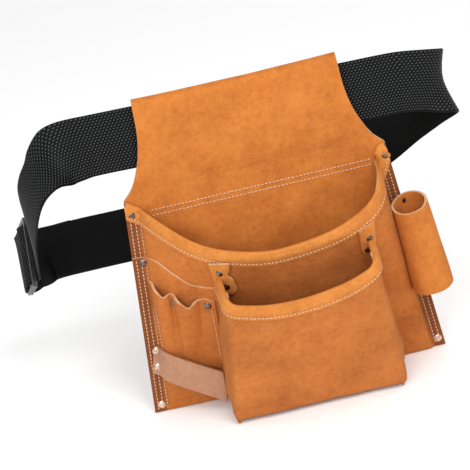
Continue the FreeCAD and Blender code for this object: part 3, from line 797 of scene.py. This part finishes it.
def at_buckle(run, depth):
    return buckle + along_buckle * run + inward * depth


# Each station: the middle of the webbing, then how many degrees its upper edge leans back and to
# the right.
stations = []
for x, y, z in ((-0.160, 0.0794, -0.1078), (-0.176, 0.0794, -0.1086), (-0.190, 0.0776, -0.1095),
                (-0.1965, 0.0736, -0.1095)):
    stations.append((Vector((x, y, z)), 50, -1))
for turn in (90, 45, 0, -45, -90):
    angle = math.radians(turn)
    stations.append((at_buckle(0.013 - 0.003 * math.cos(angle), 0.003 * math.sin(angle)), 38, 2))
for x, y, z, back, right in (
        (-0.208, 0.0765, -0.1125, 40, 0), (-0.2035, 0.082, -0.1155, 44, 0), (-0.192, 0.0838, -0.114, 50, -1),
        (-0.176, 0.083, -0.1115, 53, 0), (-0.147, 0.0823, -0.111, 54, 0), (-0.113, 0.082, -0.111, 54, 0),
        (-0.062, 0.083, -0.112, 54, 0), (-0.011, 0.083, -0.1085, 53, 0), (0.040, 0.082, -0.101, 50, 0),
        (0.081, 0.078, -0.089, 46, 4), (0.113, 0.068, -0.070, 40, 4), (0.136, 0.054, -0.0495, 32, 0),
        (0.152, 0.042, -0.035, 18, -4), (0.1612, 0.030, -0.026, 5, -9), (0.163, 0.019, -0.019, -7, -10),
        (0.1572, 0.0095, -0.0125, -10, -8), (0.1445, 0.003, -0.0075, -6, -4),
        (0.130, 0.0002, -0.0043, -2, -1)):
    stations.append((Vector((x, y, z)), back, right))
for x in (0.118, 0.080, 0.040, 0.0, -0.040, -0.080, -0.118):
    stations.append((Vector((x, 0, -0.028 * x)), 0, 0))
for x, y, z, back, right in (
        (-0.131, 0.0004, 0.003, 5, 0), (-0.1445, 0.0006, 0.0014, 17, -3), (-0.156, -0.0004, -0.0035, 46, -8),
        (-0.1656, -0.0018, -0.011, 65, -14), (-0.174, -0.001, -0.021, 75, -18),
        (-0.1805, 0.0045, -0.035, 78, -16), (-0.185, 0.015, -0.052, 71, -10),
        (-0.1875, 0.028, -0.0695, 62, -5)):
    stations.append((Vector((x, y, z)), back, right))
for run, depth in ((-0.022, 0.0032), (-0.015, 0.0036), (-0.009, 0.0014), (-0.0045, -0.0032), (0.0, -0.0046),
                   (0.0045, -0.0018), (0.007, 0.0032), (0.009, 0.0082)):
    stations.append((at_buckle(run, depth), 38, 2))
for x, y, z in ((-0.1845, 0.0744, -0.1065), (-0.172, 0.0754, -0.107), (-0.150, 0.0762, -0.107),
                (-0.126, 0.0766, -0.1075), (-0.098, 0.077, -0.1078)):
    stations.append((Vector((x, y, z)), 50, -1))


def catmull(a, b, c, d, t):
    square = (2 * a - 5 * b + 4 * c - d) * t * t
    return 0.5 * (2 * b + (c - a) * t + square + (3 * b - a - 3 * c + d) * t ** 3)


def station_at(reach):
    last = len(stations) - 1
    i = min(int(reach), last - 1)
    t = reach - i
    around = [stations[max(i - 1, 0)], stations[i], stations[i + 1], stations[min(i + 2, last)]]
    return [catmull(*[node[j] for node in around], t) for j in (0, 1, 2)]


fine = [station_at(i / 40) for i in range(40 * (len(stations) - 1) + 1)]
run_length = [0.0]
for a, b in zip(fine, fine[1:]):
    run_length.append(run_length[-1] + (b[0] - a[0]).length)
weft = 0.00145                       # half of the pitch of the weave along the webbing
rows = int(run_length[-1] / weft)
web_width = 0.0508
web_thick = 0.0019
selvage = 0.0009                     # how wide each rounded edge is
cells = 22                           # pairs of columns of weave across the webbing
face_steps = cells * 2 + 4
round_steps = face_steps * 2
bpy.ops.object.select_all(action="DESELECT")
bpy.ops.mesh.primitive_grid_add(x_subdivisions=round_steps, y_subdivisions=rows, size=2)
webbing = bpy.context.active_object
webbing.name = "belt_webbing_woven"
k = 0
rings = []
for i in range(rows + 1):
    want = run_length[-1] * i / rows
    while k < len(fine) - 2 and run_length[k + 1] < want:
        k += 1
    share = (want - run_length[k]) / max(run_length[k + 1] - run_length[k], 1e-12)
    spot = fine[k][0].lerp(fine[k + 1][0], share)
    back = math.radians(fine[k][1] * (1 - share) + fine[k + 1][1] * share)
    right = math.radians(fine[k][2] * (1 - share) + fine[k + 1][2] * share)
    ahead = (fine[min(k + 14, len(fine) - 1)][0] - fine[max(k - 13, 0)][0]).normalized()
    up = Vector((math.sin(right), math.cos(right) * math.sin(back), math.cos(right) * math.cos(back)))
    up = (up - ahead * up.dot(ahead)).normalized()
    rings.append((spot, up, ahead.cross(up), want))
cloth_map = webbing.data.uv_layers.active or webbing.data.uv_layers.new(name="weave")
places = {}
outer_face = -1                      # the face whose raised yarns catch the light
# Raised yarn tops are marked for a lighter colour. This is a painted highlight on the black webbing: full on
# the outer face, and half on the inner face, where the dimmer dots are painted shade.
painted_yarn_highlights = webbing.data.attributes.new("painted_yarn_highlight", "FLOAT", "POINT")
for vertex in webbing.data.vertices:
    i = round((vertex.co.y + 1) / 2 * rows)
    j = round((vertex.co.x + 1) / 2 * round_steps) % round_steps
    spot, up, skin, want = rings[i]
    face = 1 if j < face_steps else -1
    step = j % face_steps
    raised = False
    if step < 4:
        # the rounded selvage at each edge
        angle = math.pi * step / 4
        wide = -face * (web_width / 2 - selvage + selvage * math.sin(angle))
        deep = -face * 0.00088 * math.cos(angle)
    else:
        share = (step - 3.5) / (cells * 2)
        wide = -face * (web_width / 2 - selvage) * (1 - 2 * share)
        column = step - 4
        raised = (column % 2 == 0) and ((i + column // 2) % 2 == 0)
        deep = face * (web_thick / 2 - 0.00012 + (0.00042 if raised else -0.00010))
    vertex.co = spot + up * wide + skin * deep
    places[vertex.index] = (want, wide + web_width / 2)
    painted_yarn_highlights.data[vertex.index].value = (1.0 if face == outer_face else 0.5) if raised else 0.0
for loop in webbing.data.loops:
    cloth_map.data[loop.index].uv = places[loop.vertex_index]
bpy.ops.object.mode_set(mode="EDIT")
bpy.ops.mesh.select_all(action="SELECT")
bpy.ops.mesh.remove_doubles(threshold=0.00001)
bpy.ops.mesh.select_all(action="DESELECT")
bpy.ops.mesh.select_mode(type="EDGE")
bpy.ops.mesh.select_non_manifold(extend=False)
bpy.ops.mesh.fill_holes(sides=0)
bpy.ops.mesh.select_all(action="SELECT")
bpy.ops.mesh.normals_make_consistent(inside=False)
bpy.ops.object.mode_set(mode="OBJECT")
bpy.ops.object.shade_smooth()

web_cloth = bpy.data.materials.new("black_polypropylene")
web_cloth.use_nodes = True
nodes = web_cloth.node_tree.nodes
links = web_cloth.node_tree.links
shader = nodes["Principled BSDF"]
shader.inputs["Roughness"].default_value = 0.5
shader.inputs["Specular IOR Level"].default_value = 0.12
yarn_map = nodes.new("ShaderNodeUVMap")
yarn_map.uv_map = cloth_map.name
yarns = nodes.new("ShaderNodeTexWave")
yarns.bands_direction = "X"
yarns.inputs["Scale"].default_value = 330
yarns.inputs["Distortion"].default_value = 2.5
yarns.inputs["Detail"].default_value = 2
links.new(yarn_map.outputs["UV"], yarns.inputs["Vector"])
# The ramp colours the marked yarn tops light grey against near-black. The grey is a painted highlight, not a
# lighter yarn.
ramp = nodes.new("ShaderNodeValToRGB")
ramp.color_ramp.elements[0].color = (0.0008, 0.0008, 0.0009, 1)
ramp.color_ramp.elements[1].color = (0.125, 0.135, 0.128, 1)
ramp.color_ramp.elements[0].position = 0.42
painted_yarn_highlight = nodes.new("ShaderNodeAttribute")
painted_yarn_highlight.attribute_name = "painted_yarn_highlight"
links.new(painted_yarn_highlight.outputs["Fac"], ramp.inputs["Fac"])
links.new(ramp.outputs["Color"], shader.inputs["Base Color"])
bump = nodes.new("ShaderNodeBump")
bump.inputs["Strength"].default_value = 0.5
bump.inputs["Distance"].default_value = 0.0003
links.new(yarns.outputs["Fac"], bump.inputs["Height"])
links.new(bump.outputs["Normal"], shader.inputs["Normal"])
webbing.data.materials.append(web_cloth)
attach(webbing, "belt")
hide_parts("belt_webbing")


# ---- buckle ---------------------------------------------------------------------------------------
# The fixed bar and the sliding lock bar are pale plated steel with light handling marks, and the
# frame is black enamel.
buckle_metal = rivet_metal.copy()
buckle_metal.name = "plated_steel"
ramp = buckle_metal.node_tree.nodes["Color Ramp"]
ramp.color_ramp.elements[0].color = (0.55, 0.55, 0.56, 1)
ramp.color_ramp.elements[1].color = (0.80, 0.80, 0.80, 1)
for node in ("buckle_fixed_bar", "buckle_lock_bar"):
    coat(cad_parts[node], buckle_metal)
black_enamel = rivet_metal.copy()
black_enamel.name = "black_enamel"
ramp = black_enamel.node_tree.nodes["Color Ramp"]
ramp.color_ramp.elements[0].color = (0.008, 0.008, 0.008, 1)
ramp.color_ramp.elements[1].color = (0.025, 0.025, 0.025, 1)
black_enamel.node_tree.nodes["Principled BSDF"].inputs["Metallic"].default_value = 0.0
coat(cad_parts["buckle_frame"], black_enamel)


# ---- floor, lights and camera ---------------------------------------------------------------------
# A plain white floor under the pouch, a large soft light from the upper right and a fill.
bpy.ops.object.select_all(action="DESELECT")
bpy.ops.mesh.primitive_plane_add(size=12, location=(0, 0, bottom - 0.001))
floor = bpy.context.active_object
floor.name = "floor"
paper = bpy.data.materials.new("white_paper")
paper.use_nodes = True
paper.node_tree.nodes["Principled BSDF"].inputs["Base Color"].default_value = (0.98, 0.98, 0.98, 1)
paper.node_tree.nodes["Principled BSDF"].inputs["Roughness"].default_value = 0.9
floor.data.materials.append(paper)

world = bpy.data.worlds.new("studio")
world.use_nodes = True
world.node_tree.nodes["Background"].inputs["Color"].default_value = (1.0, 1.0, 1.0, 1)
world.node_tree.nodes["Background"].inputs["Strength"].default_value = 0.84
bpy.context.scene.world = world

for name, spot, size, power in (("key", (0.55, -1.15, 1.35), 0.7, 15.5),
                                ("fill", (-0.55, -1.5, 0.75), 0.9, 11.5)):
    lamp = bpy.data.lights.new(name, "AREA")
    lamp.size = size
    lamp.energy = power
    light = bpy.data.objects.new(name, lamp)
    light.location = spot
    light.rotation_euler = (Vector((0, 0, -0.1)) - Vector(spot)).to_track_quat("-Z", "Y").to_euler()
    bpy.context.scene.collection.objects.link(light)

lens = bpy.data.cameras.new("camera")
lens.lens = 133.5
lens.sensor_width = 36
camera = bpy.data.objects.new("camera", lens)
down = math.radians(23)
roll = math.radians(13.2)
look = Vector((0, math.cos(down), -math.sin(down)))
right = Vector((1, 0, 0))
up = Vector((0, math.sin(down), math.cos(down)))
turned_right = right * math.cos(roll) - up * math.sin(roll)
turned_up = right * math.sin(roll) + up * math.cos(roll)
camera.matrix_world = Matrix((turned_right, turned_up, -look)).transposed().to_4x4()
camera.location = (-0.026, -1.2887, 0.449)
bpy.context.scene.collection.objects.link(camera)
bpy.context.scene.camera = camera
bpy.context.scene.view_settings.view_transform = "Standard"
